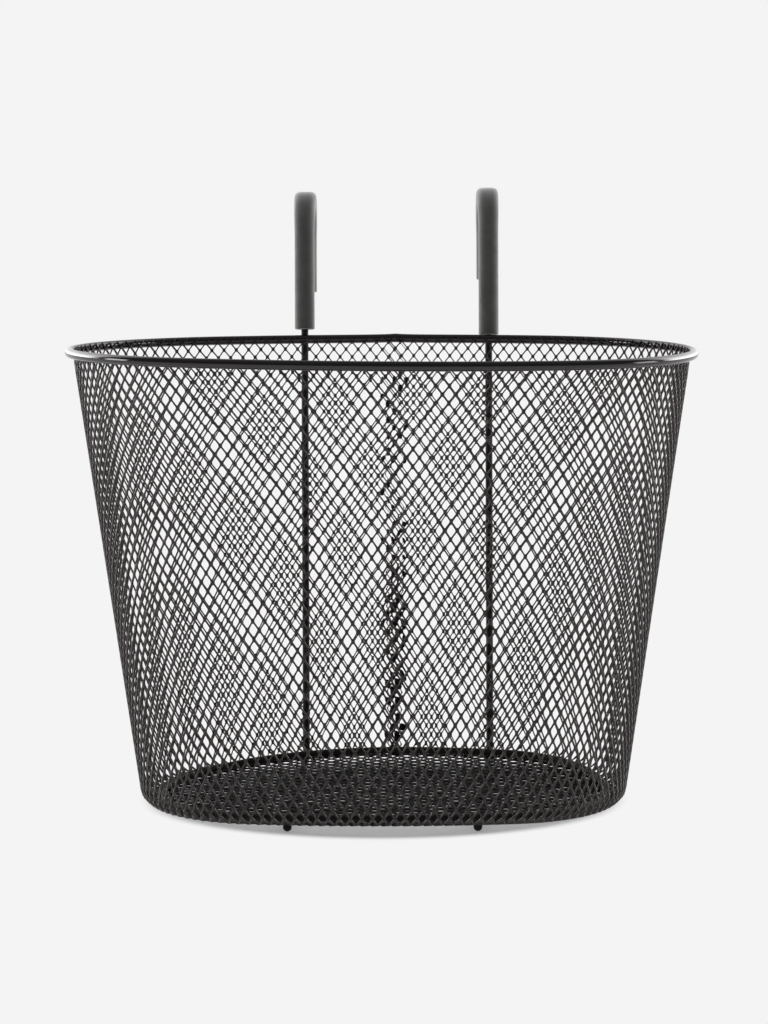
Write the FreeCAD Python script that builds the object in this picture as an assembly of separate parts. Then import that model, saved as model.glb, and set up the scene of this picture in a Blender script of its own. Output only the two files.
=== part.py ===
"""Handlebar basket: an oval wire-mesh basket carried by two bent hook rods.

Frame, in millimetres: X runs along the basket's width, Y from the front towards the
handlebar, and Z up. The basket stands on Z = 0 on its two rods. Left is -X.
The mesh wall and the mesh floor are sheets of the mesh's own thickness, with a coarse
grid of diamond openings in place of the fine one.
"""
import FreeCAD, Part
import math
import os

from FreeCAD import Vector

# ---- rim and wall ----
RIM_WIDTH = 350.0            # over the rim ring, along X
RIM_DEPTH = 240.0            # over the rim ring, along Y
RIM_HEIGHT = 256.0           # ground to the top of the rim ring
RIM_WIRE = 5.2               # wire diameter of the rim ring
END_ROUNDNESS = 0.92         # radius of a ring's ends, as a share of its half depth
SHEET = 1.0                  # thickness of the mesh wall
WALL_TOP_DROP = 1.3          # top of the rim ring down to the wall's edge
CORNER_RADIUS = 8.2          # outside radius where the wall turns in under the basket
LAP_WIDTH = 9.0              # overlap of the sheet's two ends, at the back
LAP_START = 20.0             # height of the overlap's lower end above the wall's underside

# ---- openings in the wall and the floor ----
WALL_COLUMNS = 24            # diamonds round the wall
WALL_ROWS = 5                # diamonds up the wall
WALL_BAR = 4.6               # width of the bars between the wall's diamonds
WALL_MARGIN = 5.0            # plain edge below the rim and above the lower corner
FLOOR_COLUMNS = 12           # diamonds across the floor, along X
FLOOR_ROWS = 7               # diamonds along Y
FLOOR_BAR = 5.0              # width of the bars between the floor's diamonds

# ---- base ----
BASE_WIDTH = 251.4           # base ring, between wire centres, along X
BASE_DEPTH = 162.4           # base ring, between wire centres, along Y
BASE_WIRE = 4.0              # wire diameter of the base ring
FLANGE = 4.3                 # flat edge of the wall outside the base ring's centre line
BASE_SAG = 4.0               # how far the base ring's two ends hang below its middle
FLOOR_SHEET = 0.9            # thickness of the mesh floor

# ---- hook rods and sleeves ----
ROD = 4.2                    # rod diameter
ROD_END = 4.8                # diameter of the rounded bead at each rod's front end
ROD_SPACING = 110.8          # between the two risers
BACK_SHIFT = 8.2             # middle of the risers and of the lap, to the right of x = 0
FRONT_SPACING = 102.4        # between the rods' front ends, evenly about x = 0
FRONT_REACH = 74.4           # basket's middle to the rods' front ends
HOOK_RADIUS = 21.0           # centre line radius of the hook
HOOK_TOP = {"left": 342.7, "right": 344.7}    # ground to the top of the sleeve
REAR_LEG = 25.0              # straight end of the rod behind the handlebar
SLEEVE = 12.0                # outside diameter of the sleeve
SLEEVE_CROWN = 13.2          # width of the sleeve at the top of its bend, where it spreads
SLEEVE_START = {"left": 3.7, "right": 0.3}    # rim ring up to the sleeve's front end
SLEEVE_TAIL = {"left": 8.0, "right": 2.5}     # rod's rear end down to the sleeve's rear end
SLEEVE_EDGE = 1.2            # rounding of the sleeve's ends

# ---- welds ----
WELD_WIDTH = 5.0             # diameter of a weld button
WELD_RISE = 0.8              # height of a weld button above the sheet
FLOOR_WELD_BACK = {"left": 25.0, "right": 42.0}     # basket's middle back to a floor weld
FLOOR_WELD_FRONT = {"left": 28.3, "right": 22.3}    # basket's middle forward to a floor weld
WALL_WELD_HEIGHT = 30.0      # ground to the weld buttons between the wall and the risers

# ---- clearances ----
TOUCH = 0.1                  # gap left between round wires and sheets that are welded
SLEEVE_GAP = 0.1             # between the rod and its sleeve

SIDES = {"left": -1.0, "right": 1.0}
RUN_Z = max(ROD, ROD_END) / 2                 # centre line of the rods under the floor
RIM_Z = RIM_HEIGHT - RIM_WIRE / 2
WALL_TOP = RIM_HEIGHT - WALL_TOP_DROP
BASE_RISE = max(SHEET, FLOOR_SHEET) + TOUCH + BASE_WIRE / 2        # underside to base ring
SAG_RADIUS = (BASE_WIDTH ** 2 / 4 + BASE_SAG ** 2) / (2 * BASE_SAG)


def drop(x, radius=SAG_RADIUS):
    """How far the sagging underside lies below its middle at x."""
    return radius - math.sqrt(radius * radius - x * x)


# Underside of the floor and of the wall's edge at x = 0: it clears the rods' front ends and
# the widest place of the runs. Then the centre of the wall's lower corner there.
UNDERSIDE = TOUCH + max(2 * RUN_Z + drop(FRONT_SPACING / 2),
                        RUN_Z + ROD / 2 + drop(abs(BACK_SHIFT) + ROD_SPACING / 2))
CORNER_Z = UNDERSIDE + CORNER_RADIUS


# ---------------------------------------------------------------- ovals
# An oval's size is (half width, half depth, radius of its two ends).

def ring_size(width, depth):
    return width / 2, depth / 2, END_ROUNDNESS * depth / 2


RIM = ring_size(RIM_WIDTH - RIM_WIRE, RIM_DEPTH - RIM_WIRE)
BASE = ring_size(BASE_WIDTH, BASE_DEPTH)


def grow(size, distance):
    """Size of the oval that runs outside another one at an even distance."""
    return tuple(value + distance for value in size)


def side_radius(size):
    a, b, end = size
    return (a * a + b * b - 2 * a * end) / (2 * (b - end))


def oval(size, z):
    """Closed wire of four tangent arcs at height z: right end, back, left end, front."""
    a, b, end = size
    dx, dy = a - end, side_radius(size) - b
    reach = math.hypot(dx, dy)
    jx, jy = dx + end * dx / reach, end * dy / reach
    stops = [(jx, -jy), (a, 0), (jx, jy), (0, b), (-jx, jy), (-a, 0), (-jx, -jy), (0, -b)]
    points = [Vector(x, y, z) for x, y in stops]
    points.append(points[0])
    arcs = [Part.Arc(points[i], points[i + 1], points[i + 2]).toShape() for i in (0, 2, 4, 6)]
    return Part.Wire(arcs)


def oval_back(size, x):
    """Y of an oval's back arc at x, and the sine of the arc's slope there."""
    radius = side_radius(size)
    return size[1] - radius + math.sqrt(radius * radius - x * x), x / radius


def oval_spot(size, share):
    """Point and outward direction at a share of the way round an oval from its right end."""
    a, b, end = size
    side = side_radius(size)
    dx, dy = a - end, side - b
    turn = math.atan2(dy, dx)
    quarter = end * turn + side * (math.pi / 2 - turn)
    quadrant, along = divmod(4 * share * quarter, quarter)
    if quadrant % 2 == 1:
        along = quarter - along
    if along < end * turn:
        angle, radius, start = along / end, end, Vector(dx, 0, 0)
    else:
        angle, radius, start = turn + (along - end * turn) / side, side, Vector(0, -dy, 0)
    out = Vector(math.cos(angle), math.sin(angle), 0)
    spot = start + out * radius
    across, back = -1 if quadrant % 4 in (1, 2) else 1, 1 if quadrant % 4 < 2 else -1
    return Vector(spot.x * across, spot.y * back, 0), Vector(out.x * across, out.y * back, 0)


def prism(size, z, height):
    return Part.Face(oval(size, z)).extrude(Vector(0, 0, height))


def underside(x, above=0.0):
    """Height of the sagging underside at x, or of the surface that runs above it."""
    return UNDERSIDE + above - drop(x, SAG_RADIUS + above)


def below(above=0.0):
    """Block whose top is the sagging underside, or runs above it."""
    half, depth = RIM_WIDTH / 2, RIM_DEPTH
    left, top, right = [Vector(x, -depth, underside(x, above)) for x in (-half, 0, half)]
    low_left, low_right = [Vector(x, -depth, left.z - 2 * BASE_SAG) for x in (-half, half)]
    outline = [Part.Arc(left, top, right).toShape(), line(right, low_right),
               line(low_right, low_left), line(low_left, left)]
    return Part.Face(Part.Wire(outline)).extrude(Vector(0, 2 * depth, 0))


# ---------------------------------------------------------------- openings

def opening(centre, across, up, width, height, bar, direction):
    """Diamond prism that cuts one opening, with half a bar kept on each of its sides."""
    share = 1 - bar * math.hypot(width, height) / (width * height)
    side, top = across * (width * share / 2), up * (height * share / 2)
    corners = [centre + side, centre + top, centre - side, centre - top, centre + side]
    return Part.Face(Part.makePolygon(corners)).extrude(direction)


def clear_of(welds, cutter):
    """Whether an opening leaves all the weld buttons on solid metal."""
    return all(cutter.distToShape(weld)[0] > TOUCH for weld in welds.Solids)


# ---------------------------------------------------------------- wall

def wall_size(z, inset=0.0):
    """Size of the wall's straight part at height z, inset from its outside."""
    low = grow(BASE, FLANGE + CORNER_RADIUS)
    high = grow(RIM, -RIM_WIRE / 2 - TOUCH)
    share = (z - CORNER_Z) / (RIM_Z - CORNER_Z)
    return tuple(p + (q - p) * share - inset for p, q in zip(low, high))


def wall_form(inset, top):
    """Solid bounded by the wall's surface, inset from its outside, up to height top."""
    low = UNDERSIDE - 2 * BASE_SAG
    cone = Part.makeLoft([oval(wall_size(z, inset), z) for z in (low, top)], True, True)
    form = cone.cut(below(inset))
    bottom = [face for face in form.Faces if isinstance(face.Surface, Part.Cylinder)]
    return form.makeFillet(CORNER_RADIUS - inset, bottom[0].OuterWire.Edges)


def wall_openings(welds):
    """Diamonds round the wall in staggered rows, cut off level at the top and the bottom."""
    low, high = CORNER_Z + WALL_MARGIN, RIM_Z - RIM_WIRE / 2 - WALL_MARGIN
    height = (high - low) / WALL_ROWS
    depth = height * (RIM[1] - BASE[1]) / (RIM_Z - CORNER_Z) + CORNER_RADIUS
    cutters = []
    for row in range(2 * WALL_ROWS + 1):
        z = low + row * height / 2
        size = wall_size(z, SHEET / 2)
        for column in range(WALL_COLUMNS):
            share = (column + row % 2 / 2) / WALL_COLUMNS
            spot, out = oval_spot(size, share)
            ahead, _ = oval_spot(size, share + 1 / WALL_COLUMNS)
            width = (ahead - spot).Length
            centre = spot - out * depth + Vector(0, 0, z)
            cutters.append(opening(centre, Vector(-out.y, out.x, 0), Vector(0, 0, 1),
                                   width, height, WALL_BAR, out * 2 * depth))
    level = Part.makeBox(RIM_WIDTH, RIM_DEPTH, high - low,
                         Vector(-RIM_WIDTH / 2, -RIM_DEPTH / 2, low))
    return [cutter.common(level) for cutter in cutters if clear_of(welds, cutter)]


def wall_mesh(welds):
    """Mesh wall: leaning side, rounded lower corner and narrow flat edge, with its lap."""
    hollow = wall_form(SHEET, WALL_TOP + SHEET)
    mouth = prism(grow(BASE, TOUCH), UNDERSIDE - 2 * BASE_SAG, 2 * BASE_SAG + 2 * SHEET)
    sheet = wall_form(0.0, WALL_TOP).cut(hollow).cut(mouth)
    lap_bottom = UNDERSIDE + LAP_START
    lap_box = Part.makeBox(LAP_WIDTH, RIM_DEPTH, WALL_TOP - lap_bottom,
                           Vector(BACK_SHIFT - LAP_WIDTH / 2, 0, lap_bottom))
    doubled = wall_form(SHEET / 2, WALL_TOP).cut(wall_form(2 * SHEET, WALL_TOP + SHEET))
    whole = sheet.fuse(doubled.common(lap_box)).removeSplitter()
    return whole.cut(wall_openings(welds))


def floor_openings(welds):
    """Diamonds in staggered rows that stay inside the floor's plain edge."""
    wide, deep = BASE_WIDTH / FLOOR_COLUMNS, BASE_DEPTH / FLOOR_ROWS
    inside = prism(grow(BASE, -TOUCH - BASE_WIRE), 0, 2 * UNDERSIDE)
    cutters = []
    for row in range(-FLOOR_ROWS, FLOOR_ROWS + 1):
        for column in range(-FLOOR_COLUMNS, FLOOR_COLUMNS + 1):
            centre = Vector(column * wide / 2, row * deep / 2, 0)
            if (row + column) % 2 == 0:
                cutters.append(opening(centre, Vector(1, 0, 0), Vector(0, 1, 0), wide, deep,
                                       FLOOR_BAR, Vector(0, 0, 2 * UNDERSIDE)))
    inner = [cutter.common(inside) for cutter in cutters if clear_of(welds, cutter)]
    return [cutter for cutter in inner if cutter.Volume > 0]


def floor_mesh(welds):
    block = prism(grow(BASE, -TOUCH), UNDERSIDE - 2 * BASE_SAG, 2 * BASE_SAG + 2 * FLOOR_SHEET)
    return block.common(below(FLOOR_SHEET)).cut(below()).cut(floor_openings(welds))


# ---------------------------------------------------------------- wires

def tube(edges, radius):
    """Solid round bar along a chain of tangent edges."""
    start = edges[0]
    profile = Part.Circle(start.valueAt(start.FirstParameter),
                          start.tangentAt(start.FirstParameter), radius)
    return Part.Wire(edges).makePipeShell([Part.Wire([profile.toShape()])], True, True)


def ring(edges, wire):
    """Round wire along the edges of a closed centre line, made in two halves."""
    half = len(edges) // 2
    first, second = tube(edges[:half], wire / 2), tube(edges[half:], wire / 2)
    return first.fuse(second).removeSplitter()


def sagging_oval(size, above):
    """Both halves of a closed curve that follows an oval at a height above the underside."""
    points = oval(size, 0).discretize(Number=73)[:-1]
    curve = Part.BSplineCurve()
    curve.interpolate(Points=[Vector(p.x, p.y, underside(p.x, above)) for p in points],
                      PeriodicFlag=True)
    middle = (curve.FirstParameter + curve.LastParameter) / 2
    return [curve.toShape(curve.FirstParameter, middle), curve.toShape(middle, curve.LastParameter)]


def line(start, end):
    return Part.LineSegment(start, end).toShape()


def rounded_corner(before, corner, after, radius):
    """Arc that rounds the corner of a bent rod, and the arc's two ends."""
    back = (before - corner).normalize()
    on = (after - corner).normalize()
    half = back.getAngle(on) / 2
    start = corner + back * (radius / math.tan(half))
    end = corner + on * (radius / math.tan(half))
    middle = corner + (back + on).normalize() * (radius / math.sin(half) - radius)
    return start, Part.Arc(start, middle, end).toShape(), end


# ---------------------------------------------------------------- hook rods

class Rod:
    """Centre line of one hook rod: run under the floor, riser behind the wall, and hook."""

    def __init__(self, side):
        self.side = side
        self.x = BACK_SHIFT + SIDES[side] * ROD_SPACING / 2
        rim_y, slope = oval_back(RIM, self.x)
        room = (RIM_WIRE + ROD) / 2 + TOUCH
        rim = Vector(self.x, rim_y + room / math.sqrt(1 - slope * slope), RIM_Z)
        corner_z = underside(self.x) + CORNER_RADIUS
        wall_y, _ = oval_back(grow(BASE, FLANGE + CORNER_RADIUS), self.x)
        self.bend = corner_z - RUN_Z
        corner = Vector(self.x, wall_y + TOUCH + ROD / 2 - self.bend, corner_z)
        span = rim - corner
        self.lean = math.atan2(span.y, span.z) - math.asin(self.bend / span.Length)
        self.up = Vector(0, math.sin(self.lean), math.cos(self.lean))
        self.back = Vector(0, math.cos(self.lean), -math.sin(self.lean))
        self.rim = rim

        self.hook_centre = self.on_riser(HOOK_TOP[side] - SLEEVE / 2 - HOOK_RADIUS
                                         + HOOK_RADIUS * math.sin(self.lean))
        self.hook_centre += self.back * HOOK_RADIUS

    def on_riser(self, z):
        """Point of the riser's centre line at height z."""
        return self.rim + self.up * ((z - self.rim.z) / self.up.z)

    def hook_edges(self, front, rear):
        """Straight of length front, half turn over the bar, straight of length rear."""
        start = self.hook_centre - self.back * HOOK_RADIUS
        end = self.hook_centre + self.back * HOOK_RADIUS
        crown = self.hook_centre + self.up * HOOK_RADIUS
        return [line(start - self.up * front, start),
                Part.Arc(start, crown, end).toShape(),
                line(end, end - self.up * rear)]

    def run(self):
        """Both ends of the straight run under the floor, as if the corner were sharp."""
        front = Vector(SIDES[self.side] * FRONT_SPACING / 2, -FRONT_REACH, RUN_Z)
        return front, self.on_riser(RUN_Z)

    def edges(self):
        """Whole centre line, from the front end to the rear end."""
        front, corner = self.run()
        start, bend, end = rounded_corner(front, corner, self.rim, self.bend)
        riser = (self.hook_centre - self.back * HOOK_RADIUS - end).Length
        return [line(front, start), bend] + self.hook_edges(riser, REAR_LEG)


def hook_rod(rod):
    """Bent rod, with the bead at its front end and a dome at its rear end."""
    edges = rod.edges()
    bead = Part.makeSphere(ROD_END / 2, edges[0].Vertexes[0].Point)
    dome = Part.makeSphere(ROD / 2, edges[-1].Vertexes[-1].Point)
    return tube(edges, ROD / 2).fuse([bead, dome]).removeSplitter()


def sleeve_section(rod, turn):
    """Oval outline of the sleeve at a turn from 0 (front leg) to pi (rear leg)."""
    spread = 1 + (SLEEVE_CROWN / SLEEVE - 1) * math.sin(turn)
    out = rod.up * math.sin(turn) - rod.back * math.cos(turn)
    centre = rod.hook_centre + out * HOOK_RADIUS
    wide = Vector(SLEEVE / 2 * spread, 0, 0)
    thick = out * (SLEEVE / 2 / math.sqrt(spread))
    points = []
    for k in range(12):
        angle = math.radians(30.0 * k)
        points.append(centre + wide * math.cos(angle) + thick * math.sin(angle))
    curve = Part.BSplineCurve()
    curve.interpolate(Points=points, PeriodicFlag=True)
    return Part.Wire([curve.toShape()])


def sleeve_leg(rod, turn, length):
    """Straight leg of the sleeve below the bend, with its lower edge rounded."""
    section = sleeve_section(rod, turn)
    post = Part.Face(section).extrude(rod.up * -length)
    tip = section.BoundBox.Center - rod.up * length
    lower = [edge for edge in post.Edges if edge.CenterOfMass.distanceToPoint(tip) < SLEEVE_EDGE]
    return post.makeFillet(SLEEVE_EDGE, lower)


def hook_sleeve(rod):
    """Soft sleeve, widened sideways in the bend and bored for the rod."""
    tip = rod.on_riser(RIM_HEIGHT + SLEEVE_START[rod.side])
    front = (rod.hook_centre - rod.back * HOOK_RADIUS - tip).Length
    rear = REAR_LEG + SLEEVE_TAIL[rod.side]
    steps = 8
    bend = Part.makeLoft([sleeve_section(rod, math.pi * i / steps) for i in range(steps + 1)],
                         True, False)
    body = bend.fuse([sleeve_leg(rod, 0, front), sleeve_leg(rod, math.pi, rear)])
    return body.cut(tube(rod.hook_edges(front + SLEEVE, rear + SLEEVE), ROD / 2 + SLEEVE_GAP))


# ---------------------------------------------------------------- welds

def button(centre, direction):
    """Flat weld dome of WELD_WIDTH by WELD_RISE, standing on centre along direction."""
    radius = (WELD_WIDTH ** 2 / 4 + WELD_RISE ** 2) / (2 * WELD_RISE)
    ball = Part.makeSphere(radius, Vector(0, 0, WELD_RISE - radius))
    dome = ball.common(Part.makeCylinder(WELD_WIDTH, WELD_RISE))
    dome.Placement = FreeCAD.Placement(centre, FreeCAD.Rotation(Vector(0, 0, 1), direction))
    return dome


def floor_welds(rods):
    """Weld buttons on the floor, two above each rod."""
    domes = []
    for rod in rods:
        front, corner = rod.run()
        for y in (FLOOR_WELD_BACK[rod.side], -FLOOR_WELD_FRONT[rod.side]):
            seat = front + (corner - front) * ((y - front.y) / (corner.y - front.y))
            upright = Vector(seat.x, 0, SAG_RADIUS).normalize()
            seat.z = underside(seat.x, FLOOR_SHEET + TOUCH)
            domes.append(button(seat, upright))
    return Part.makeCompound(domes)


def riser_welds(rods):
    """Weld buttons on the inside of the wall, one in front of each riser."""
    domes = []
    for rod in rods:
        size = wall_size(WALL_WELD_HEIGHT, SHEET + TOUCH)
        y, slope = oval_back(size, rod.x)
        lean = (wall_size(RIM_Z)[1] - wall_size(CORNER_Z)[1]) / (RIM_Z - CORNER_Z)
        inward = Vector(-slope, -math.sqrt(1 - slope * slope), lean)
        domes.append(button(Vector(rod.x, y, WALL_WELD_HEIGHT), inward))
    return Part.makeCompound(domes)


# ---------------------------------------------------------------- assembly

def build():
    rods = [Rod(side) for side in SIDES]
    on_floor, on_wall = floor_welds(rods), riser_welds(rods)
    pieces = {
        "wall_mesh": wall_mesh(on_wall),
        "floor_mesh": floor_mesh(on_floor),
        "rim_ring": ring(oval(RIM, RIM_Z).Edges, RIM_WIRE),
        "base_ring": ring(sagging_oval(BASE, BASE_RISE), BASE_WIRE),
        "floor_welds": on_floor,
        "riser_welds": on_wall,
    }
    for rod in rods:
        pieces["hook_rod_" + rod.side] = hook_rod(rod)
        pieces["hook_sleeve_" + rod.side] = hook_sleeve(rod)
    return pieces


def centre_on_ground(pieces):
    """Move the whole basket so that the middle of its outline stands on the origin."""
    box = Part.makeCompound(list(pieces.values())).optimalBoundingBox(True, False)
    for shape in pieces.values():
        shape.translate(Vector(-box.Center.x, -box.Center.y, -box.ZMin))


os.makedirs("parts", exist_ok=True)
basket = build()
centre_on_ground(basket)
for name, solid in basket.items():
    solid.exportStep("parts/" + name + ".step")
    box = solid.optimalBoundingBox(True, False)
    print("%-18s solids %d valid %s volume %9.1f  x %.2f..%.2f  y %.2f..%.2f  z %.2f..%.2f" % (
        name, len(solid.Solids), solid.isValid(), solid.Volume,
        box.XMin, box.XMax, box.YMin, box.YMax, box.ZMin, box.ZMax))
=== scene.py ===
"""Handlebar basket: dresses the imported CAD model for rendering.

Lengths are in millimetres here, and MM turns them into Blender's metres.
"""

import math

import bpy
import numpy as np
from mathutils import Euler, Matrix, Vector


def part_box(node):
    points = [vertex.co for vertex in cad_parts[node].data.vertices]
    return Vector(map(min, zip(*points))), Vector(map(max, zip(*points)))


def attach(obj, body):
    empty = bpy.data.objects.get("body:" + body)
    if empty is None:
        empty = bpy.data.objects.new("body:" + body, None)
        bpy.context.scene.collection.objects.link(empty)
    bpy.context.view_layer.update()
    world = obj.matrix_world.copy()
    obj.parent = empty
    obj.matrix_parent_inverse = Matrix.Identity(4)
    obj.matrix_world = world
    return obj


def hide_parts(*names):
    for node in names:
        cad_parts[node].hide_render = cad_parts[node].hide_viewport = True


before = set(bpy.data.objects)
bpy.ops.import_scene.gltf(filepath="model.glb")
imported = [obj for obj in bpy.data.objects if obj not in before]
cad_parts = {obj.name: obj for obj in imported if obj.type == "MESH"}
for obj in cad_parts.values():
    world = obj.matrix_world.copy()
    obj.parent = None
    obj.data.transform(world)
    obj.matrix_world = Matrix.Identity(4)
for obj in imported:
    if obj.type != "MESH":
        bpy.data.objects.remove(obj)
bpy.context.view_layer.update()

MM = 0.001

# ---- oval rings and wall, as in the CAD model ----
END_ROUNDNESS = 0.92         # radius of a ring's ends, as a share of its half depth
CORNER_RADIUS = 8.2          # outside radius of the wall's lower corner
FLANGE = 4.3                 # flat edge of the wall outside the base ring's centre line
SHEET = 1.0                  # room that the CAD model leaves for the wall's mesh
FLOOR_SHEET = 0.9            # and for the floor's
BASE_WIRE = 4.0              # wire diameter of the base ring
TOUCH = 0.1                  # air between pieces that touch

# ---- rings ----
RING_STEPS, WIRE_SIDES = 420, 20
BUTT_RISE = {"rim": 0.5, "base": 0.1}    # how far the wire rises at its butt weld
BUTT_REACH = 9.0             # distance over which it rises
BUTT_HALF = 3.0              # half length of the weld's swelling
BUTT_SWELL = 0.05            # swelling of the radius, as a share for each mm of rise

# ---- bends of this one basket, as rises in mm ----
RIM_BEND = (0.0052, -0.0054, 0.000045)   # mouth: per mm back, per mm right, per both
BASE_BEND = (0.3, 0.014, 2.6e-6)         # base's back edge: fixed, per mm right, per its cube
BASE_CLEARANCE = 0.6         # the bend takes the base no further than this below its ends

# ---- wall mesh ----
CELLS_ROUND = 126            # diamonds in one turn of the wall
UNEVEN = 0.035               # the left side is stretched by this share, the right side squeezed
SEAM = 7.5                   # seam, to the right of the back's middle
LAP_CELLS = (1.0, 1.0)       # reach of the overlap to the left and right of the seam
LAP_SHIFT = (-0.6, -2.8)     # the inner layer's sideways offset at the rim and at the base
LAP_DROP = 0.8               # how much lower it lies
LAP_DEPTH = 0.95             # and how far inside the outer layer
LAP_DIVE = 1.5               # diamonds before the lap where the sheet starts to go inside
LAP_LEAD = 8                 # diamonds before it where the sheet starts to go sideways and down
WALL_TOP = 1.0               # mesh behind the rim, above the sheet of the CAD model
FLARE = 1.1                  # how far the wall swells out just under the rim
FLARE_HEIGHT = 4.0           # height over which it is drawn in again behind the rim
STRAND_TOP = 5.90            # length of a strand, from node to node, near the rim
STRAND_BASE = 6.10           # and near the floor, where the sheet is stretched more
EDGE_SQUEEZE = 0.3           # strands of the top rows are shorter by this
EDGE_FADE = 4.0              # and the squeeze fades over this depth
STRAND_WIDTH = {"front": (0.71, 0.80), "back": (0.64, 0.61)}     # at the rim, at the base
LAP_FILL = 1.7               # strands are wider by this factor in the lower half of the lap
STRAND_THICK = 0.98
STRAND_TILT = 0.10           # how far a strand's upper edge stands out from its middle
SHOULDER = 0.40              # height of a strand's edges, as a share of its thickness
EDGE_ROW, FIRST_ROW = -3.0, 2.4          # depths of the first two rows, before the edge is cut
ROUND_SHARE = 0.15           # rounding of a hole's corners, as a share of its side
SMALLEST_HOLE = 0.8          # in square mm; a smaller hole is filled
SMALLEST_TURN = 0.05         # sine of the smallest angle that is reckoned with at a corner

# ---- seam lumps ----
LUMP = (1.25, 2.5, 0.6)      # half width, half height and half thickness
LUMP_SPREAD = (0.7, 1.3)     # factors between which each of these is drawn
LUMP_TURN = 0.5              # largest turn in the sheet's plane, in radians
LUMP_ASIDE, LUMP_OUT = 0.3, 0.1          # largest shift along the sheet, and shift outwards
LUMP_SWELL = 0.4             # lumps low down are wider and higher by this share
SWELL_FROM, SWELL_OVER = 0.5, 0.2        # where the swell starts and how fast it is full
LUMP_MARGIN = (5, 4)         # rows left free at the rim and at the base
BARE = 0.22                  # chance of no lump, for each half diamond off the lap's middle
BARE_UNTIL = 0.55            # and once more down to this share of the rows
LUMP_SKIN = 0.86             # smallest radius of a lump's uneven skin, as a share
LUMP_RINGS, LUMP_SIDES = 6, 10

# ---- floor mesh ----
FLOOR_CELL = (9.0, 7.7)      # width and depth of a diamond
FLOOR_STRAND = 1.35
FLOOR_THICK = 0.45
FLOOR_TILT = 0.36            # how far a strand's back edge stands above its middle
FLOOR_SHOULDER = 0.45
TILT_SPREAD = (0.7, 1.2)     # factors between which each diamond's tilt is drawn
TILT_END = 0.97              # share of the half depth where the tilt has faded
TILT_FADE = {"front": 0.25, "back": 0.50}    # share of the half depth over which it fades
TILT_REST = 0.1              # share of the tilt that is left
EDGE_POINTS = 720            # points of the oval to which the floor is cut

# ---- hooks ----
HOOK_RADIUS = 21.0           # bend of the rod's centre line over the handlebar
HOOK_LEAN = math.radians(6.4)            # lean of the legs away from upright
HOOK_REACH = 26.97           # bend's centre to the sleeve's rearmost point
HOOK_RISE = 26.72            # and to its highest point
FRONT_END = 0.6              # middle of the sleeve's front end above its lowest point
SLEEVE = 12.0                # width of the sleeve on its straight legs
SLEEVE_CROWN = 13.2          # width of the sleeve at the top of its bend
SLEEVE_REAR = {"left": 33.0, "right": 27.5}      # straight length behind the handlebar
SLEEVE_EDGE = 0.7            # rounding of its ends
SLEEVE_SQUARE = 1.5          # how much squarer its outline is at the top of the bend
CREASE, CREASES = 0.22, 22   # depth of the creases inside the bend, and twice their number
BORE = 4.4                   # drawn bore, just clear of the rod
SLEEVE_SIDES = 40
FRONT_STEPS, BEND_STEPS, REAR_STEPS = 40, 49, 20
EDGE_STEPS = 6

# ---- looks ----
NOISE_SPAN = (0.3, 0.7)      # noise values that are spread over a whole range
BACKGROUND = 0.904
GROUND_GREY = 0.86
PAINTED_SHADOW_REACH = (0.90, 1.01)       # shares of the footprint where the contact shadow, partly painted, starts to fade and where it has faded
                             # and where it has faded
PAINTED_SHADOW_GLOW = (0.28, 1.0)   # ground's glow under the basket and beside it; the lower glow under it is painted shadow
FRONT_LIGHT, BACK_LIGHT = 0.175, 0.69    # light from the front, and what the back adds
BACK_EDGE = (0.26, 0.46)     # how far back a direction points where that starts and is full
SIDE_BOOST = 18.0            # the light from behind grows towards both sides
HIGH_FADE = 0.92             # and falls by this share from the horizon to straight above

# ---- camera ----
CAMERA_PLACE = (0.01035, -1.37525, 0.33349)      # in metres
CAMERA_LENS = 85.39          # on a sensor 36 mm wide
LOOK_DOWN, LOOK_LEFT, ROLL = 7.184, 0.399, -0.238      # in degrees


# ---------------------------------------------------------------- small tools

def millimetres(node):
    """Lowest and highest corner of a CAD node."""
    low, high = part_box(node)
    return np.array(low) / MM, np.array(high) / MM


def circle(sides):
    """Angles of evenly spaced points round a circle."""
    return 2 * math.pi * np.arange(sides) / sides


def loop_faces(count, sides):
    """Faces of a closed loop of outlines that have so many sides each."""
    return [[i * sides + k, i * sides + (k + 1) % sides,
             (i + 1) % count * sides + (k + 1) % sides, (i + 1) % count * sides + k]
            for i in range(count) for k in range(sides)]


def add_mesh(name, points, faces, material, slot, *nodes):
    """Object from points in millimetres that stands for some CAD nodes."""
    mesh = bpy.data.meshes.new(name)
    mesh.from_pydata((np.asarray(points) * MM).tolist(), [], faces)
    mesh.update()
    mesh.polygons.foreach_set("use_smooth", [True] * len(mesh.polygons))
    mesh.materials.append(material)
    piece = bpy.data.objects.new(name, mesh)
    bpy.context.scene.collection.objects.link(piece)
    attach(piece, "root")
    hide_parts(*nodes)


# ---------------------------------------------------------------- ovals

rim_low, rim_high = millimetres("rim_ring")
base_low, base_high = millimetres("base_ring")
wall_low, wall_high = millimetres("wall_mesh")
floor_low, floor_high = millimetres("floor_mesh")

RIM_WIRE = rim_high[2] - rim_low[2]
CENTRE_Y = (rim_low[1] + rim_high[1]) / 2
RIM_Z = (rim_low[2] + rim_high[2]) / 2
BASE_Z = base_high[2] - BASE_WIRE / 2
BASE_SAG = BASE_Z - BASE_WIRE / 2 - base_low[2]
UNDERSIDE = floor_high[2] - FLOOR_SHEET
CORNER_Z = UNDERSIDE + CORNER_RADIUS


def ring_size(low, high, wire):
    """Half width, half depth and end radius of a ring's centre line."""
    a, b = (high[0] - low[0] - wire) / 2, (high[1] - low[1] - wire) / 2
    return np.array([a, b, END_ROUNDNESS * b])


RIM = ring_size(rim_low, rim_high, RIM_WIRE)
BASE = ring_size(base_low, base_high, BASE_WIRE)


def drop(x):
    """How far the sagging base lies below its middle at x."""
    radius = (BASE[0] ** 2 + BASE_SAG ** 2) / (2 * BASE_SAG)
    return radius - np.sqrt(radius ** 2 - x ** 2)


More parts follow.
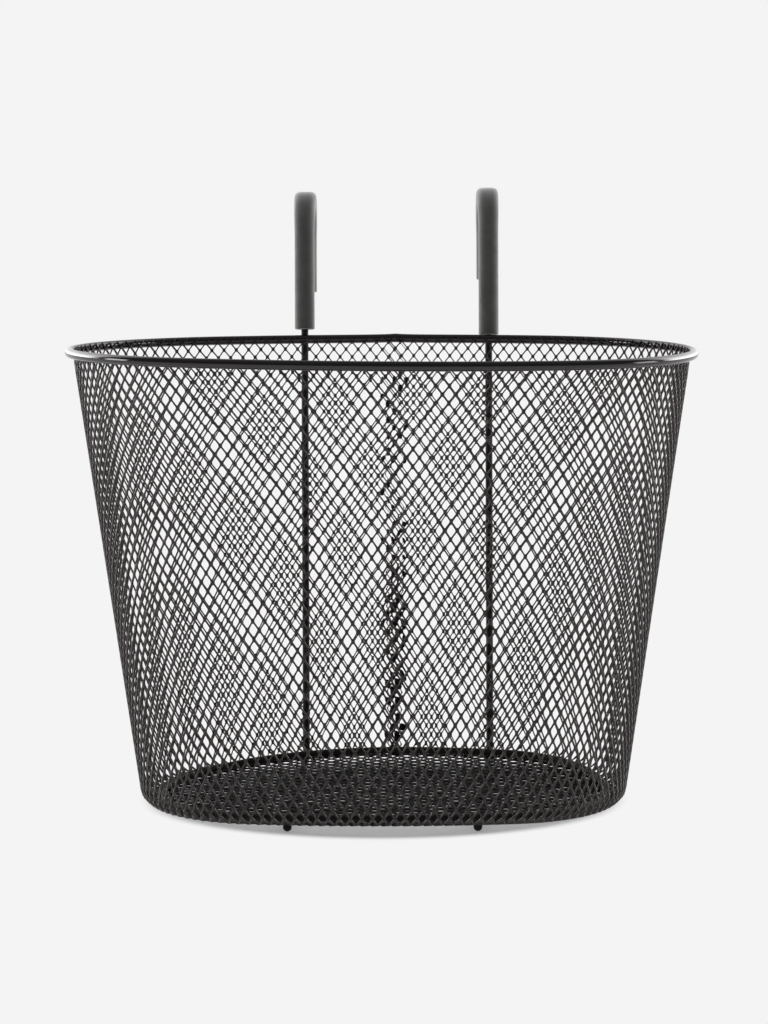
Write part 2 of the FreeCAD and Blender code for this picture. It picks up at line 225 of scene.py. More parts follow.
def rim_warp(x, y):
    """How far the bent mouth stands above a level one: its front hangs, most at the right."""
    per_back, per_right, per_both = RIM_BEND
    deep = y - CENTRE_Y
    return per_back * deep + per_right * x + per_both * x * deep


def base_warp(x, y):
    """How far the base's back edge is bent up at the right and down at the left.

    The low left end of the sagging base stays clear of the ground.
    """
    fixed, per_right, per_cube = BASE_BEND
    share = np.clip((y - CENTRE_Y) / BASE[1], 0, 1)
    bend = share * (fixed + per_right * x + per_cube * x ** 3)
    return np.maximum(bend, drop(x) - BASE_SAG - BASE_CLEARANCE)


def base_lift(x, y):
    """How far the base stands above its level middle."""
    return base_warp(x, y) - drop(x)


def oval_parts(size):
    """Side radius, centre offsets, and the half lengths of a side arc and an end arc."""
    a, b, end = size[..., 0], size[..., 1], size[..., 2]
    side = (a * a + b * b - 2 * a * end) / (2 * (b - end))
    dx, dy = a - end, side - b
    turn = np.arctan2(dx, dy)
    return side, dx, dy, turn, side * turn, end * (math.pi / 2 - turn)


def oval_length(size):
    """Length once round an oval."""
    half_side, half_end = oval_parts(size)[4:]
    return 4 * (half_side + half_end)


def oval_point(size, along):
    """Point and outward normal at a distance along the oval, from the back's middle to +X."""
    size = np.broadcast_to(size, np.shape(along) + (3,))
    side, dx, dy, turn, half_side, half_end = oval_parts(size)
    end = size[..., 2]
    s = np.mod(along, 4 * (half_side + half_end))
    stop1 = half_side
    stop2 = stop1 + 2 * half_end
    stop3 = stop2 + 2 * half_side
    stop4 = stop3 + 2 * half_end
    stage = [s < stop1, s < stop2, s < stop3, s < stop4, s >= stop4]
    angle = np.select(stage, [
        s / side,
        turn + (s - stop1) / end,
        math.pi - turn + (s - stop2) / side,
        math.pi + turn + (s - stop3) / end,
        2 * math.pi - turn + (s - stop4) / side])
    radius = np.select(stage, [side, end, side, end, side])
    zero = np.zeros_like(s)
    x0 = np.select(stage, [zero, dx, zero, -dx, zero])
    y0 = np.select(stage, [-dy, zero, dy, zero, -dy])
    out = np.stack([np.sin(angle), np.cos(angle)], axis=-1)
    point = np.stack([x0, y0 + CENTRE_Y], axis=-1) + out * radius[..., None]
    return point, out


def in_outline(flat, size):
    """Whether points lie inside an oval."""
    side, dx, dy, turn, _, _ = oval_parts(size)
    x, y = np.abs(flat[:, 0]), np.abs(flat[:, 1] - CENTRE_Y)
    at_side = np.arctan2(x, y + dy) < turn
    return np.where(at_side, np.hypot(x, y + dy) < side, np.hypot(x - dx, y) < size[2])


# ---------------------------------------------------------------- expanded mesh

def inset(corners, distance):
    """Corners of a four-sided outline after its sides move inwards by a distance."""
    sides = np.roll(corners, -1, axis=1) - corners
    sides /= np.maximum(np.linalg.norm(sides, axis=2, keepdims=True), 1e-6)
    inward = np.stack([-sides[..., 1], sides[..., 0]], axis=-1)
    shifted = (inward * (corners + inward * distance)).sum(axis=2)
    before = np.roll(inward, 1, axis=1)
    level = np.roll(shifted, 1, axis=1)
    cross = before[..., 0] * inward[..., 1] - before[..., 1] * inward[..., 0]
    cross = np.where(np.abs(cross) < SMALLEST_TURN, SMALLEST_TURN, cross)
    x = (level * inward[..., 1] - shifted * before[..., 1]) / cross
    y = (before[..., 0] * shifted - inward[..., 0] * level) / cross
    return np.stack([x, y], axis=-1)


def area(corners):
    """Area inside flat outlines, positive where they run anticlockwise."""
    x, y = corners[..., 0], corners[..., 1]
    return 0.5 * (x * np.roll(y, -1, axis=1) - np.roll(x, -1, axis=1) * y).sum(axis=1)


def cell_frames(nodes, normals, cells):
    """Each cell's centre and axes, and its corners in the plane of the first two axes."""
    corner = nodes[cells]
    centre = corner.mean(axis=1)
    up = normals[cells].mean(axis=1)
    up /= np.linalg.norm(up, axis=1, keepdims=True)
    along = corner[:, 1] - corner[:, 3]
    along -= up * (along * up).sum(axis=1, keepdims=True)
    along /= np.linalg.norm(along, axis=1, keepdims=True)
    across = np.cross(up, along)
    local = corner - centre[:, None]
    flat = np.stack([(local * along[:, None]).sum(axis=2),
                     (local * across[:, None]).sum(axis=2)], axis=-1)
    return centre, (along, across, up), flat


def hole_edges(centre, axes, hole, tilt):
    """Eight points round each hole, two near each corner, so that corners look rounded."""
    along, across, up = (axis[:, None] for axis in axes)
    step = (np.roll(hole, -1, axis=1) - hole) * ROUND_SHARE
    edge = np.stack([hole + step, np.roll(hole, -1, axis=1) - step], axis=2).reshape(-1, 8, 2)
    place = centre[:, None] + along * edge[..., :1] + across * edge[..., 1:]
    reach = np.abs(edge[..., 1]).max(axis=1, keepdims=True)
    return place + up * (tilt[:, None] * edge[..., 1] / reach)[..., None]


def strand_faces(opened, solid, count):
    """Faces round the open cells' holes, on both sides of the sheet and through it.

    The points are the ridges outside and inside, count each, and then eight outer and eight
    inner shoulder points for each open cell.
    """
    outer = 2 * count + np.arange(len(opened) * 8).reshape(-1, 8)
    inner = outer + len(opened) * 8
    faces = []
    for k in range(4):
        a, b = opened[:, k], opened[:, (k + 1) % 4]
        low_a, low_b = a + count, b + count
        first, second, last = 2 * k, 2 * k + 1, 2 * k - 1
        for face in ((a, outer[:, first], outer[:, last]),
                     (a, b, outer[:, second], outer[:, first]),
                     (low_a, inner[:, last], inner[:, first]),
                     (low_b, low_a, inner[:, first], inner[:, second]),
                     (outer[:, last], outer[:, first], inner[:, first], inner[:, last]),
                     (outer[:, first], outer[:, second], inner[:, second], inner[:, first])):
            faces += np.stack(face, axis=1).tolist()
    return faces + solid.tolist() + (solid[:, ::-1] + count).tolist()


def expanded_mesh(nodes, normals, cells, width, thick, shoulder_share, tilt):
    """Points and faces of a sheet of strands that surround the holes of the cells.

    A cell lists its four nodes anticlockwise as seen from outside. Each strand has a ridge
    from node to node and a shoulder along each hole, so that it looks rounded. Each cell
    has its own strand width, and a tilt that makes the strands round it lean like slats,
    as the slitting knife leaves them.
    """
    centre, axes, flat = cell_frames(nodes, normals, cells)
    hole = inset(flat, width[:, None, None] / 2)
    kept = (np.roll(hole, -1, axis=1) - hole) * (np.roll(flat, -1, axis=1) - flat)
    is_open = (area(hole) > SMALLEST_HOLE) & (kept.sum(axis=2) > 0).all(axis=1)

    axes = [axis[is_open] for axis in axes]
    place = hole_edges(centre[is_open], axes, hole[is_open], tilt[is_open])
    ridge, shoulder = normals * thick / 2, axes[2][:, None] * thick * shoulder_share
    points = np.concatenate([nodes + ridge, nodes - ridge,
                             (place + shoulder).reshape(-1, 3),
                             (place - shoulder).reshape(-1, 3)])
    return points, strand_faces(cells[is_open], cells[~is_open], len(nodes))


def close_edge(cells, count, closing):
    """Faces over the sheet's cut edge, where both ends of a strand are marked as closing."""
    start = cells.reshape(-1)
    end = np.roll(cells, -1, axis=1).reshape(-1)
    used = set(zip(start.tolist(), end.tolist()))
    return [[b, a, a + count, b + count] for a, b in used
            if (b, a) not in used and closing[a] and closing[b]]


def used_only(points, faces):
    """Leaves out the points that no face uses."""
    flags = np.zeros(len(points), bool)
    for face in faces:
        flags[face] = True
    new = np.cumsum(flags) - 1
    return points[flags], [[int(new[i]) for i in face] for face in faces]


# ---------------------------------------------------------------- wall

def wall_profile(down, fall=0.0):
    """Oval size, height, outward tilt and whole length at a distance down from the top edge.

    Fall is how far the base sags below that place.
    """
    low = BASE + FLANGE + CORNER_RADIUS - SHEET / 2
    high = RIM - RIM_WIRE / 2 - TOUCH - SHEET / 2
    slope = (high - low) / (RIM_Z - CORNER_Z)
    lean = math.atan(float(slope[1] + slope[0]) / 2)
    straight = (wall_high[2] - CORNER_Z) / math.cos(lean)
    radius = CORNER_RADIUS - SHEET / 2
    bend = radius * math.pi / 2

    share = np.clip(down / straight, 0, 1)
    z = wall_high[2] - down * math.cos(lean) - fall * share ** 2
    turn = np.clip((down - straight) / radius, 0, math.pi / 2)
    flat = np.clip(down - straight - bend, 0, FLANGE)
    flare = FLARE * (1 - share) * np.clip(down / FLARE_HEIGHT, 0, 1) ** 2
    size = np.where((down < straight)[..., None],
                    low + slope * (z[..., None] - CORNER_Z) + flare[..., None],
                    low - slope * np.expand_dims(fall, -1)
                    - (radius * (1 - np.cos(turn)) + flat)[..., None])
    height = np.where(down < straight, z, CORNER_Z - fall - radius * np.sin(turn))
    tilt = np.where(down < straight, -lean, -turn)
    return size, height, tilt, straight + bend + FLANGE


def wall_rows():
    """Distances of the rows of nodes down the wall, half a diamond apart."""
    rows = [EDGE_ROW, FIRST_ROW]
    end = wall_profile(np.array(0.0))[3]
    while rows[-1] < end:
        size = wall_profile(np.array(rows[-1]))[0]
        share = min(rows[-1] / end, 1.0)
        strand = STRAND_TOP + (STRAND_BASE - STRAND_TOP) * share
        strand -= EDGE_SQUEEZE * math.exp(-rows[-1] / EDGE_FADE)
        half = oval_length(size) / CELLS_ROUND / 2
        rows.append(rows[-1] + math.sqrt(strand ** 2 - half ** 2))
    return np.clip(np.array(rows), -WALL_TOP, end)


def wall_nodes():
    """Nodes of the wall's lattice by row and half column, with their normals."""
    rows = wall_rows()
    left, right = LAP_CELLS
    columns = np.arange(-2 * left, 2 * (CELLS_ROUND + right) + 1) / 2
    down, column = np.meshgrid(rows, columns, indexing="ij")
    share = column / CELLS_ROUND
    share = share + UNEVEN / (2 * math.pi) * (np.cos(2 * math.pi * share) - 1)
    size = wall_profile(down)[0]
    point, _ = oval_point(size, SEAM + share * oval_length(size))
    size, height, tilt, _ = wall_profile(down, drop(point[..., 0]))

    lap = CELLS_ROUND - left
    under = np.clip(column - (lap - LAP_DIVE), 0, 1)
    late = np.clip((column - (lap - LAP_LEAD)) / LAP_LEAD, 0, 1)
    size = size - (under * LAP_DEPTH)[..., None]
    level = np.clip(down / down[-1, 0], 0, 1)
    offset = late * (LAP_SHIFT[0] + (LAP_SHIFT[1] - LAP_SHIFT[0]) * level)
    point, out = oval_point(size, SEAM + share * oval_length(size) + offset)
    height = height - late * LAP_DROP * np.cos(tilt)
    height += (1 - level) * rim_warp(point[..., 0], point[..., 1])
    height += level * base_warp(point[..., 0], point[..., 1])
    nodes = np.concatenate([point, height[..., None]], axis=-1)
    normals = np.concatenate([out * np.cos(tilt)[..., None], np.sin(tilt)[..., None]], axis=-1)
    return nodes, normals


def lattice_cells(rows, columns):
    """Corner indexes of the diamonds in a grid of rows by half columns, and their columns."""
    r, c = np.meshgrid(np.arange(1, rows - 1), np.arange(1, columns - 1), indexing="ij")
    pick = (r + c) % 2 == 1
    r, c = r[pick], c[pick]
    centre = r * columns + c
    return np.stack([centre - columns, centre - 1, centre + columns, centre + 1], axis=1), c


def add_wall(material, seam_shade_material):
    """The wall's mesh, in a front and a back part."""
    nodes, normals = wall_nodes()
    rows, columns = nodes.shape[:2]
    cells, column = lattice_cells(rows, columns)
    cells = cells[:, [0, 3, 2, 1]]           # columns run clockwise seen from above
    row = np.repeat(np.arange(rows), columns)
    closing = (row <= 1) | (row >= rows - 2)
    half = np.tile(np.arange(columns), rows)
    closing |= (half <= 1) | (half >= columns - 2)
    turn = (column / 2 - LAP_CELLS[0]) / CELLS_ROUND
    front = (turn > 0.25) & (turn < 0.75)
    level = row[cells[:, 0]] / rows
    top, base = np.where(front[:, None], STRAND_WIDTH["front"], STRAND_WIDTH["back"]).T
    width = top + (base - top) * level
    reach = 2 * sum(LAP_CELLS)
    in_lap = (column <= reach) | (column >= columns - 1 - reach)
    width[in_lap & (level > 0.5)] *= LAP_FILL
    for part, picked in (("front", front), ("back", ~front)):
        chosen = cells[picked]
        points, faces = expanded_mesh(nodes.reshape(-1, 3), normals.reshape(-1, 3), chosen,
                                      width[picked], STRAND_THICK, SHOULDER,
                                      np.full(len(chosen), STRAND_TILT))
        faces += close_edge(chosen, rows * columns, closing)
        points, faces = used_only(points, faces)
        add_mesh("wall_mesh_" + part, points, faces, material, "mesh_steel", "wall_mesh")
    # the seam's lumps take a darker coat, which paints the shade inside the lap
    add_seam_spots(nodes, normals, seam_shade_material)


# ---------------------------------------------------------------- floor

def add_floor(material):
    """Finer flat mesh; its edge is cut to the oval under the base ring."""
    size = BASE - TOUCH
    wide, long = FLOOR_CELL
    across, deep = int(size[0] / wide * 2) + 3, int(size[1] / long * 2) + 3
    columns = np.arange(-across, across + 1) * wide / 2
    rows = np.arange(-deep, deep + 1) * long / 2
    y, x = np.meshgrid(rows[::-1], columns, indexing="ij")
    flat = np.stack([x, y + CENTRE_Y], axis=-1).reshape(-1, 2)

    edge, _ = oval_point(size, np.linspace(0, oval_length(size), EDGE_POINTS + 1)[:-1])
    inside = in_outline(flat, size)
    gap = np.linalg.norm(flat[~inside][:, None] - edge[None], axis=2)
    flat[~inside] = edge[gap.argmin(axis=1)]
    height = UNDERSIDE + FLOOR_SHEET / 2 + base_lift(flat[:, 0], flat[:, 1])
    nodes = np.concatenate([flat, height[:, None]], axis=1)
    normals = np.tile([0.0, 0.0, 1.0], (len(flat), 1))

    cells, _ = lattice_cells(len(rows), len(columns))
    cells = cells[inside[cells].any(axis=1)]
    place = (nodes[cells].mean(axis=1)[:, 1] - CENTRE_Y) / size[1]
    fade = np.where(place > 0, TILT_FADE["back"], TILT_FADE["front"])
    tilt = FLOOR_TILT * np.clip((TILT_END - np.abs(place)) / fade, TILT_REST, 1)
    tilt *= np.random.default_rng(5).uniform(*TILT_SPREAD, len(cells))
    points, faces = expanded_mesh(nodes, normals, cells, np.full(len(cells), FLOOR_STRAND),
                                  FLOOR_THICK, FLOOR_SHOULDER, tilt)
    faces += close_edge(cells, len(nodes), np.ones(len(nodes), bool))
    points, faces = used_only(points, faces)
    add_mesh("floor_mesh_net", points, faces, material, "mesh_steel", "floor_mesh")


# ---------------------------------------------------------------- rings

def add_ring(name, size, z, raised, wire, rise, material, slot, node):
    """Round wire bent to the oval, with its butt weld near the back's middle.

    Raised gives how far the wire stands above z at x and y, and rise how far it rises at
    the weld.
    """
    length = float(oval_length(size))
    step = np.arange(RING_STEPS)
    point, out = oval_point(size, SEAM + length * step / RING_STEPS)
    gap = np.minimum(step, RING_STEPS - step) * length / RING_STEPS
    lift = rise * np.exp(-gap / BUTT_REACH)
    radius = wire / 2 * (1 + BUTT_SWELL * rise * np.exp(-(gap / BUTT_HALF) ** 2))
    angle = circle(WIRE_SIDES)
    sideways = (radius[:, None] * np.cos(angle))[..., None] * out[:, None]
    height = z + lift + raised(point[:, 0], point[:, 1])
    height = height[:, None] + radius[:, None] * np.sin(angle)
    points = np.concatenate([point[:, None] + sideways, height[..., None]], axis=-1)
    add_mesh(name, points.reshape(-1, 3), loop_faces(RING_STEPS, WIRE_SIDES), material, slot,
             node)


# ---------------------------------------------------------------- seam lumps

def ball(rings, sides):
    """Points and faces of a rounded lump with a slightly uneven skin."""
    rng = np.random.default_rng(3)
    points = [[0.0, 0.0, 1.0]]
    for i in range(1, rings):
        polar = math.pi * i / rings
        for k in range(sides):
            turn = 2 * math.pi * k / sides
            far = rng.uniform(LUMP_SKIN, 1.0)
            points.append([far * math.sin(polar) * math.cos(turn),
                           far * math.sin(polar) * math.sin(turn), math.cos(polar)])
    points.append([0.0, 0.0, -1.0])
    last = len(points) - 1
    faces = []
    for k in range(sides):
        m = (k + 1) % sides
        faces.append([0, 1 + k, 1 + m])
        for a in range(1, last - sides, sides):
            faces.append([a + k, a + sides + k, a + sides + m, a + m])
        faces.append([last - sides + k, last, last - sides + m])
    return np.array(points), faces


def add_seam_spots(nodes, normals, material):
    """Lumps of weld metal and turned-over strand ends on the inner layer's crossings.

    Their darker coat paints the shade inside the lap.
    """
    rng = np.random.default_rng(7)
    ball_points, ball_faces = ball(LUMP_RINGS, LUMP_SIDES)
    points, faces = [], []
    count, last, middle = len(nodes), nodes.shape[1] - 1, sum(LAP_CELLS)
    for row in range(LUMP_MARGIN[0], count - LUMP_MARGIN[1]):
        low = min(max((row / count - SWELL_FROM) / SWELL_OVER, 0), 1)
        swell = 1 + LUMP_SWELL * low
        size = np.array(LUMP) * (swell, swell, 1.0)
        for step in range(int(2 * middle) + 1):
            column = last - step
            bare = BARE * abs(step - middle) + (0.0 if row > BARE_UNTIL * count else BARE)
            if (row + column) % 2 or rng.random() < bare:
                continue
            facing = normals[row, column]
            side = np.array([facing[1], -facing[0], 0.0]) / math.hypot(*facing[:2])
            up = np.cross(side, facing)
            turn = rng.uniform(-LUMP_TURN, LUMP_TURN)
            first = math.cos(turn) * side + math.sin(turn) * up
            second = np.cross(facing, first)
            lump = ball_points * rng.uniform(*LUMP_SPREAD, 3) * size
            aside = rng.uniform(-LUMP_ASIDE, LUMP_ASIDE)
            centre = nodes[row, column] + LUMP_OUT * facing + aside * side
            faces += [[i + len(ball_points) * len(points) for i in face]
                      for face in ball_faces]
            points.append(centre + lump @ np.array([first, second, facing]))
    add_mesh("wall_mesh_seam", np.concatenate(points), faces, material, "mesh_steel",
             "wall_mesh")


# ---------------------------------------------------------------- sleeves

def sleeve_path(side):
    """Stations from the sleeve's front end over the bar to its rear end.

    Each gives the centre, the outward direction and the turn from 0 (front) to pi (rear).
    """
    low, high = millimetres("hook_sleeve_" + side)
    up = np.array([0.0, math.sin(HOOK_LEAN), math.cos(HOOK_LEAN)])
    back = np.array([0.0, math.cos(HOOK_LEAN), -math.sin(HOOK_LEAN)])
    centre = np.array([(low[0] + high[0]) / 2, high[1] - HOOK_REACH, high[2] - HOOK_RISE])
    front = (centre[2] + HOOK_RADIUS * math.sin(HOOK_LEAN) - low[2] - FRONT_END) / up[2]

    def station(turn, below=0.0):
        out = up * math.sin(turn) - back * math.cos(turn)
        return centre + out * HOOK_RADIUS - up * below, out, turn

    return ([station(0.0, front - d) for d in np.linspace(0, front, FRONT_STEPS)[:-1]]
            + [station(turn) for turn in np.linspace(0, math.pi, BEND_STEPS)]
            + [station(math.pi, d) for d in np.linspace(0, SLEEVE_REAR[side], REAR_STEPS)[1:]])


def sleeve_section(place, out, turn, shrink):
    """Outline of the sleeve: round on the legs, squarer and wider at the top of the bend."""
    bent = math.sin(turn)
    angle = circle(SLEEVE_SIDES)
    power = 2 / (2 + SLEEVE_SQUARE * bent ** 2)
    wide = np.sign(np.cos(angle)) * np.abs(np.cos(angle)) ** power
    deep = np.sign(np.sin(angle)) * np.abs(np.sin(angle)) ** power
    spread = 1 + (SLEEVE_CROWN / SLEEVE - 1) * bent
    inside = np.clip(-np.sin(angle), 0, 1) ** 2
    crease = CREASE * bent * inside * (1 + math.cos(CREASES * turn))
    wide = wide * (SLEEVE / 2 * spread - shrink)
    deep = deep * (SLEEVE / 2 / math.sqrt(spread) - shrink - crease)
    return place + wide[:, None] * np.array([1.0, 0.0, 0.0]) + deep[:, None] * out


def bore_section(place, out):
    """Outline of the sleeve's round bore."""
    angle = circle(SLEEVE_SIDES)
    return (place + BORE / 2 * np.cos(angle)[:, None] * np.array([1.0, 0.0, 0.0])
            + BORE / 2 * np.sin(angle)[:, None] * out)


def sleeve_end(station, neighbour):
    """Outlines of a rounded end, from its face inwards."""
    place, out, turn = station
    away = place - neighbour[0]
    away = away / np.linalg.norm(away)
    return [sleeve_section(place - away * SLEEVE_EDGE * (1 - math.sin(t)), out, turn,
                           SLEEVE_EDGE * (1 - math.cos(t)))
            for t in np.linspace(math.pi / 2, 0, EDGE_STEPS)]


def add_sleeve(side, material):
    """Soft sleeve with rounded ends and small creases inside its bend."""
    path = sleeve_path(side)
    rows = sleeve_end(path[0], path[1])
    rows += [sleeve_section(*station, 0.0) for station in path[2:-2]]
    rows += sleeve_end(path[-1], path[-2])[::-1]
    rows += [bore_section(place, out) for place, out, _ in path[::-1]]
    add_mesh("sleeve_foam_" + side, np.concatenate(rows), loop_faces(len(rows), SLEEVE_SIDES),
             material, "sleeve", "hook_sleeve_" + side)


# ---------------------------------------------------------------- materials

def set_inputs(node, **values):
    """Sets a node's inputs; a name's underscores stand for spaces."""
    for name, value in values.items():
        node.inputs[name.replace("_", " ")].default_value = value


def new_material(name, colour, roughness):
    """Material with its node tree and its principled shader."""
    material = bpy.data.materials.new(name)
    material.use_nodes = True
    shader = material.node_tree.nodes["Principled BSDF"]
    set_inputs(shader, Base_Color=(*colour, 1), Roughness=roughness)
    return material, material.node_tree, shader


def add_noise(tree, scale, detail, roughness):
    """Noise over the object's own coordinates."""
    where = tree.nodes.new("ShaderNodeTexCoord")
    noise = tree.nodes.new("ShaderNodeTexNoise")
    set_inputs(noise, Scale=scale, Detail=detail, Roughness=roughness)
    tree.links.new(where.outputs["Object"], noise.inputs["Vector"])
    return noise.outputs["Fac"]


def add_range(tree, value, given, wanted, kind="LINEAR"):
    """Carries a value from a given range over to a wanted one."""
    span = tree.nodes.new("ShaderNodeMapRange")
    span.interpolation_type = kind
    set_inputs(span, From_Min=given[0], From_Max=given[1], To_Min=wanted[0], To_Max=wanted[1])
    tree.links.new(value, span.inputs["Value"])
    return span.outputs["Result"]


def add_math(tree, operation, *values):
    """One step of arithmetic on links and floats."""
    step = tree.nodes.new("ShaderNodeMath")
    step.operation = operation
    for socket, value in zip(step.inputs, values):
        if isinstance(value, float):
            socket.default_value = value
        else:
            tree.links.new(value, socket)
    return step.outputs[0]


def add_patches(tree, shader, noise, dark, light):
    """Colour that wanders between a dark and a light one."""
    mix = tree.nodes.new("ShaderNodeMix")
    mix.data_type = "RGBA"
    set_inputs(mix, A=(*dark, 1), B=(*light, 1))
    share = add_range(tree, add_noise(tree, *noise), NOISE_SPAN, (0.0, 1.0))
    tree.links.new(share, mix.inputs["Factor"])
    tree.links.new(mix.outputs["Result"], shader.inputs["Base Color"])


def add_gloss(tree, shader, noise, rough):
    """Roughness that wanders over a range."""
    value = add_range(tree, add_noise(tree, *noise), NOISE_SPAN, rough)
    tree.links.new(value, shader.inputs["Roughness"])


def add_bump(tree, shader, noise, strength, distance):
    """Grain of the surface."""
    bump = tree.nodes.new("ShaderNodeBump")
    set_inputs(bump, Strength=strength, Distance=distance * MM)
    tree.links.new(add_noise(tree, *noise), bump.inputs["Height"])
    tree.links.new(bump.outputs["Normal"], shader.inputs["Normal"])


def powder_coat(name, dark, light, rough, grain, specular, cool=1.0):
    """Baked powder coat: slight orange peel, and small changes of colour and gloss.

    Cool is the share of green and blue that its reflections keep.
    """
    material, tree, shader = new_material(name, dark, rough[0])
    set_inputs(shader, Specular_IOR_Level=specular, Specular_Tint=(1.0, cool, cool, 1.0))
    add_patches(tree, shader, (60.0, 3.0, 0.5), dark, light)
    add_gloss(tree, shader, (140.0, 2.0, 0.5), rough)
    add_bump(tree, shader, (grain, 2.0, 0.5), 0.35, 0.03)
    return material


def foam_rubber():
    """Matt sleeve rubber with a fine closed-cell grain and faint rubbed patches."""
    dark, light = (0.071, 0.0688, 0.0660), (0.101, 0.0975, 0.0935)
    material, tree, shader = new_material("sleeve_rubber", dark, 0.8)
    set_inputs(shader, Sheen_Weight=0.92, Sheen_Roughness=0.5)
    add_patches(tree, shader, (90.0, 4.0, 0.6), dark, light)
    add_gloss(tree, shader, (220.0, 3.0, 0.6), (0.66, 0.86))
    add_bump(tree, shader, (1800.0, 3.0, 0.6), 0.5, 0.08)
    return material


def dress(node, material):
    """Gives a carried-over CAD node its finish."""
    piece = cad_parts[node]
    piece.data.materials.clear()
    piece.data.materials.append(material)


# ---------------------------------------------------------------- stage

def is_seen(tree):
    """1 for rays that should see the plain background: camera, mirror and clear ones."""
    path = tree.nodes.new("ShaderNodeLightPath")
    total = path.outputs["Is Camera Ray"]
    for name in ("Is Glossy Ray", "Is Transmission Ray"):
        total = add_math(tree, "MAXIMUM", total, path.outputs[name])
    return total


def add_shade(tree, kind, grey):
    """Plain grey shader of a kind."""
    shade = tree.nodes.new(kind)
    shade.inputs["Color"].default_value = (grey, grey, grey, 1)
    return shade


def mix_to_output(tree, share, first, second, kind):
    """Leads a mix of two shaders to an output of a kind."""
    mix = tree.nodes.new("ShaderNodeMixShader")
    out = tree.nodes.new(kind)
    tree.links.new(share, mix.inputs["Fac"])
    tree.links.new(first.outputs[0], mix.inputs[1])
    tree.links.new(second.outputs[0], mix.inputs[2])
    tree.links.new(mix.outputs[0], out.inputs[0])


def add_world():
    """Plain background; the light itself comes mostly from behind and beside the basket."""
    world = bpy.data.worlds.new("studio")
    bpy.context.scene.world = world
    world.use_nodes = True
    tree = world.node_tree
    tree.nodes.clear()
    seen = add_shade(tree, "ShaderNodeBackground", BACKGROUND)
    light = add_shade(tree, "ShaderNodeBackground", 1.0)

    parts = tree.nodes.new("ShaderNodeSeparateXYZ")
    direction = tree.nodes.new("ShaderNodeTexCoord")
    tree.links.new(direction.outputs["Generated"], parts.inputs[0])
    x, y, z = parts.outputs
    strength = add_range(tree, y, BACK_EDGE, (0.0, BACK_LIGHT))
    boost = add_math(tree, "MULTIPLY_ADD", add_math(tree, "MULTIPLY", x, x), SIDE_BOOST, 1.0)
    high = add_math(tree, "MAXIMUM", z, 0.0)
    fade = add_math(tree, "MULTIPLY_ADD", high, -HIGH_FADE, 1.0)
    back = add_math(tree, "MULTIPLY", strength, fade)
    total = add_math(tree, "MULTIPLY_ADD", boost, back, FRONT_LIGHT)
    tree.links.new(total, light.inputs["Strength"])

    path = tree.nodes.new("ShaderNodeLightPath")
    mix_to_output(tree, path.outputs["Is Camera Ray"], light, seen, "ShaderNodeOutputWorld")


def add_vector_math(tree, operation, vector, values=None):
    """One step of vector arithmetic, with fixed values if any are given."""
    step = tree.nodes.new("ShaderNodeVectorMath")
    step.operation = operation
    tree.links.new(vector, step.inputs[0])
    if values:
        step.inputs[1].default_value = values
    return step


def add_ground():
    """Pale floor that shows the background's colour and keeps a soft contact shadow.

    The shadow is partly painted: the glow is cut under the basket, so the ground there is
    darker even where no shadow falls.
    """
    bpy.ops.mesh.primitive_circle_add(vertices=96, radius=40.0, fill_type="NGON")
    ground = bpy.context.object
    ground.name = "ground"
    material = bpy.data.materials.new("ground")
    material.use_nodes = True
    tree = material.node_tree
    tree.nodes.clear()
    diffuse = add_shade(tree, "ShaderNodeBsdfDiffuse", GROUND_GREY)
    glow = add_shade(tree, "ShaderNodeEmission", BACKGROUND)

    place = tree.nodes.new("ShaderNodeTexCoord").outputs["Object"]
    footprint = (BASE + FLANGE + CORNER_RADIUS) * MM
    for operation, values in (("SUBTRACT", (0.0, CENTRE_Y * MM, 0.0)),
                              ("DIVIDE", (footprint[0], footprint[1], 1.0))):
        place = add_vector_math(tree, operation, place, values).outputs["Vector"]
    reach = add_vector_math(tree, "LENGTH", place).outputs["Value"]
    # painted shadow: the glow drops inside the footprint, whatever light falls there
    fade = add_range(tree, reach, PAINTED_SHADOW_REACH, PAINTED_SHADOW_GLOW, "SMOOTHSTEP")
    share = add_math(tree, "MULTIPLY", fade, is_seen(tree))
    mix_to_output(tree, share, diffuse, glow, "ShaderNodeOutputMaterial")
    ground.data.materials.append(material)


def add_lamp(name, place, size, power, target):
    """Area lamp that points at a target; all lengths in metres, power in watts."""
    lamp = bpy.data.lights.new(name, "AREA")
    lamp.shape = "RECTANGLE"
    lamp.size, lamp.size_y = size
    lamp.energy = power
    lamp_object = bpy.data.objects.new(name, lamp)
    lamp_object.location = place
    aim = Vector(target) - Vector(place)
    lamp_object.rotation_euler = aim.to_track_quat("-Z", "Y").to_euler()
    lamp_object.visible_camera = False
    bpy.context.scene.collection.objects.link(lamp_object)


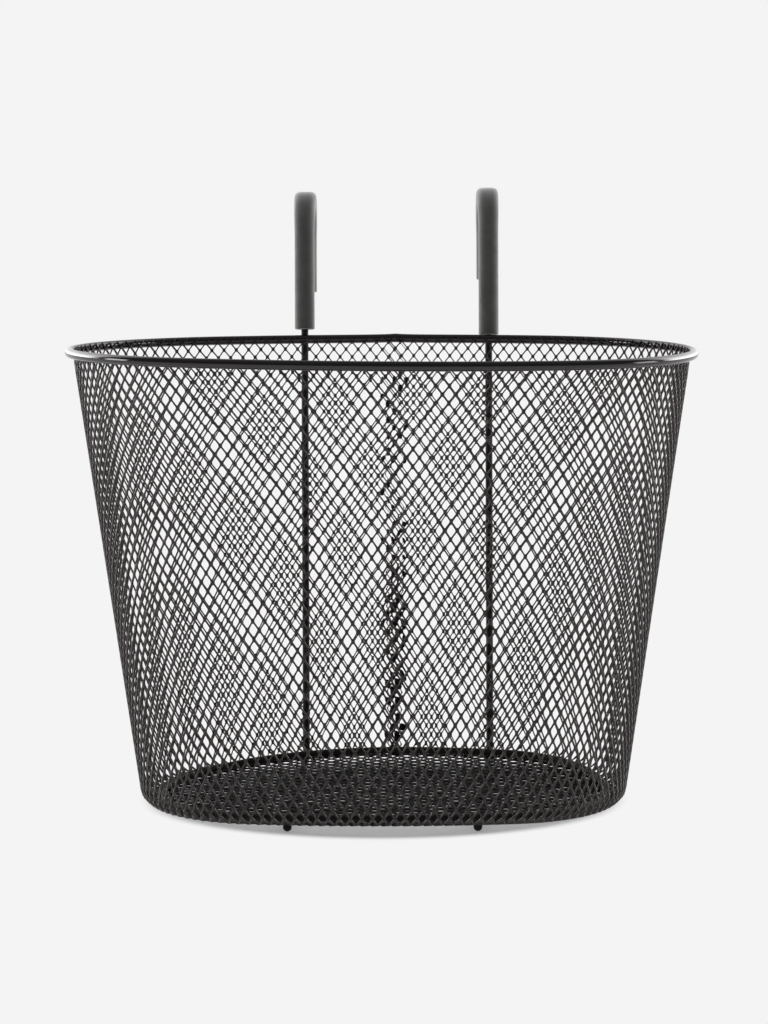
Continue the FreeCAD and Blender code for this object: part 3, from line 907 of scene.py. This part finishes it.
def add_lamps():
    """A weak lamp above, and one at each side for the sleeves and the ends of the rim."""
    add_lamp("lamp_top", (0.0, 0.0, 1.7), (2.4, 2.0), 1.6, (0.0, 0.0, 0.16))
    add_lamp("lamp_left", (-1.5, -0.09, 0.42), (0.42, 0.5), 4.6, (0.0, 0.0, 0.3))
    add_lamp("lamp_right", (1.5, -0.09, 0.42), (0.42, 0.5), 3.0, (0.0, 0.0, 0.3))


def add_camera():
    """Camera in front of the basket, a little above its rim and looking slightly down."""
    camera = bpy.data.cameras.new("camera")
    camera.sensor_width = 36.0
    camera.lens = CAMERA_LENS
    camera.clip_start, camera.clip_end = 0.05, 100.0
    holder = bpy.data.objects.new("camera", camera)
    bpy.context.scene.collection.objects.link(holder)
    turn = Euler((math.radians(90 - LOOK_DOWN), 0, math.radians(LOOK_LEFT)))
    roll = Matrix.Rotation(math.radians(ROLL), 4, "Z")
    holder.matrix_world = Matrix.Translation(CAMERA_PLACE) @ turn.to_matrix().to_4x4() @ roll
    bpy.context.scene.camera = holder


# ---------------------------------------------------------------- assembly

mesh_coat = powder_coat("mesh_coat", (0.0175, 0.0138, 0.0136), (0.0265, 0.0214, 0.0210),
                        (0.34, 0.50), 1500.0, 0.50, 0.89)
# painted shade: a darker, duller copy of the mesh's coat, for the floor inside the basket and
# the lumps inside the seam's lap, where shade falls
painted_shade_coat = powder_coat("painted_shade_coat", (0.0072, 0.0069, 0.0067), (0.0108, 0.0103, 0.0100),
                         (0.55, 0.70), 1500.0, 0.10)
rod_coat = powder_coat("rod_coat", (0.0190, 0.0168, 0.0156), (0.0275, 0.0245, 0.0230),
                       (0.50, 0.64), 900.0, 0.16)
rim_coat = powder_coat("rim_coat", (0.0024, 0.0024, 0.0024), (0.0040, 0.0040, 0.0040),
                       (0.07, 0.13), 500.0, 0.62, 0.93)
rubber = foam_rubber()

add_wall(mesh_coat, painted_shade_coat)
add_floor(painted_shade_coat)
add_ring("rim_wire", RIM, RIM_Z, rim_warp, RIM_WIRE, BUTT_RISE["rim"], rim_coat, "rim_steel",
         "rim_ring")
add_ring("base_wire", BASE, BASE_Z, base_lift, BASE_WIRE, BUTT_RISE["base"], rod_coat,
         "rim_steel", "base_ring")
for side in ("left", "right"):
    dress("hook_rod_" + side, rod_coat)
    add_sleeve(side, rubber)
dress("floor_welds", rod_coat)
dress("riser_welds", rod_coat)

add_world()
add_ground()
add_lamps()
add_camera()
bpy.context.scene.view_settings.view_transform = "Standard"
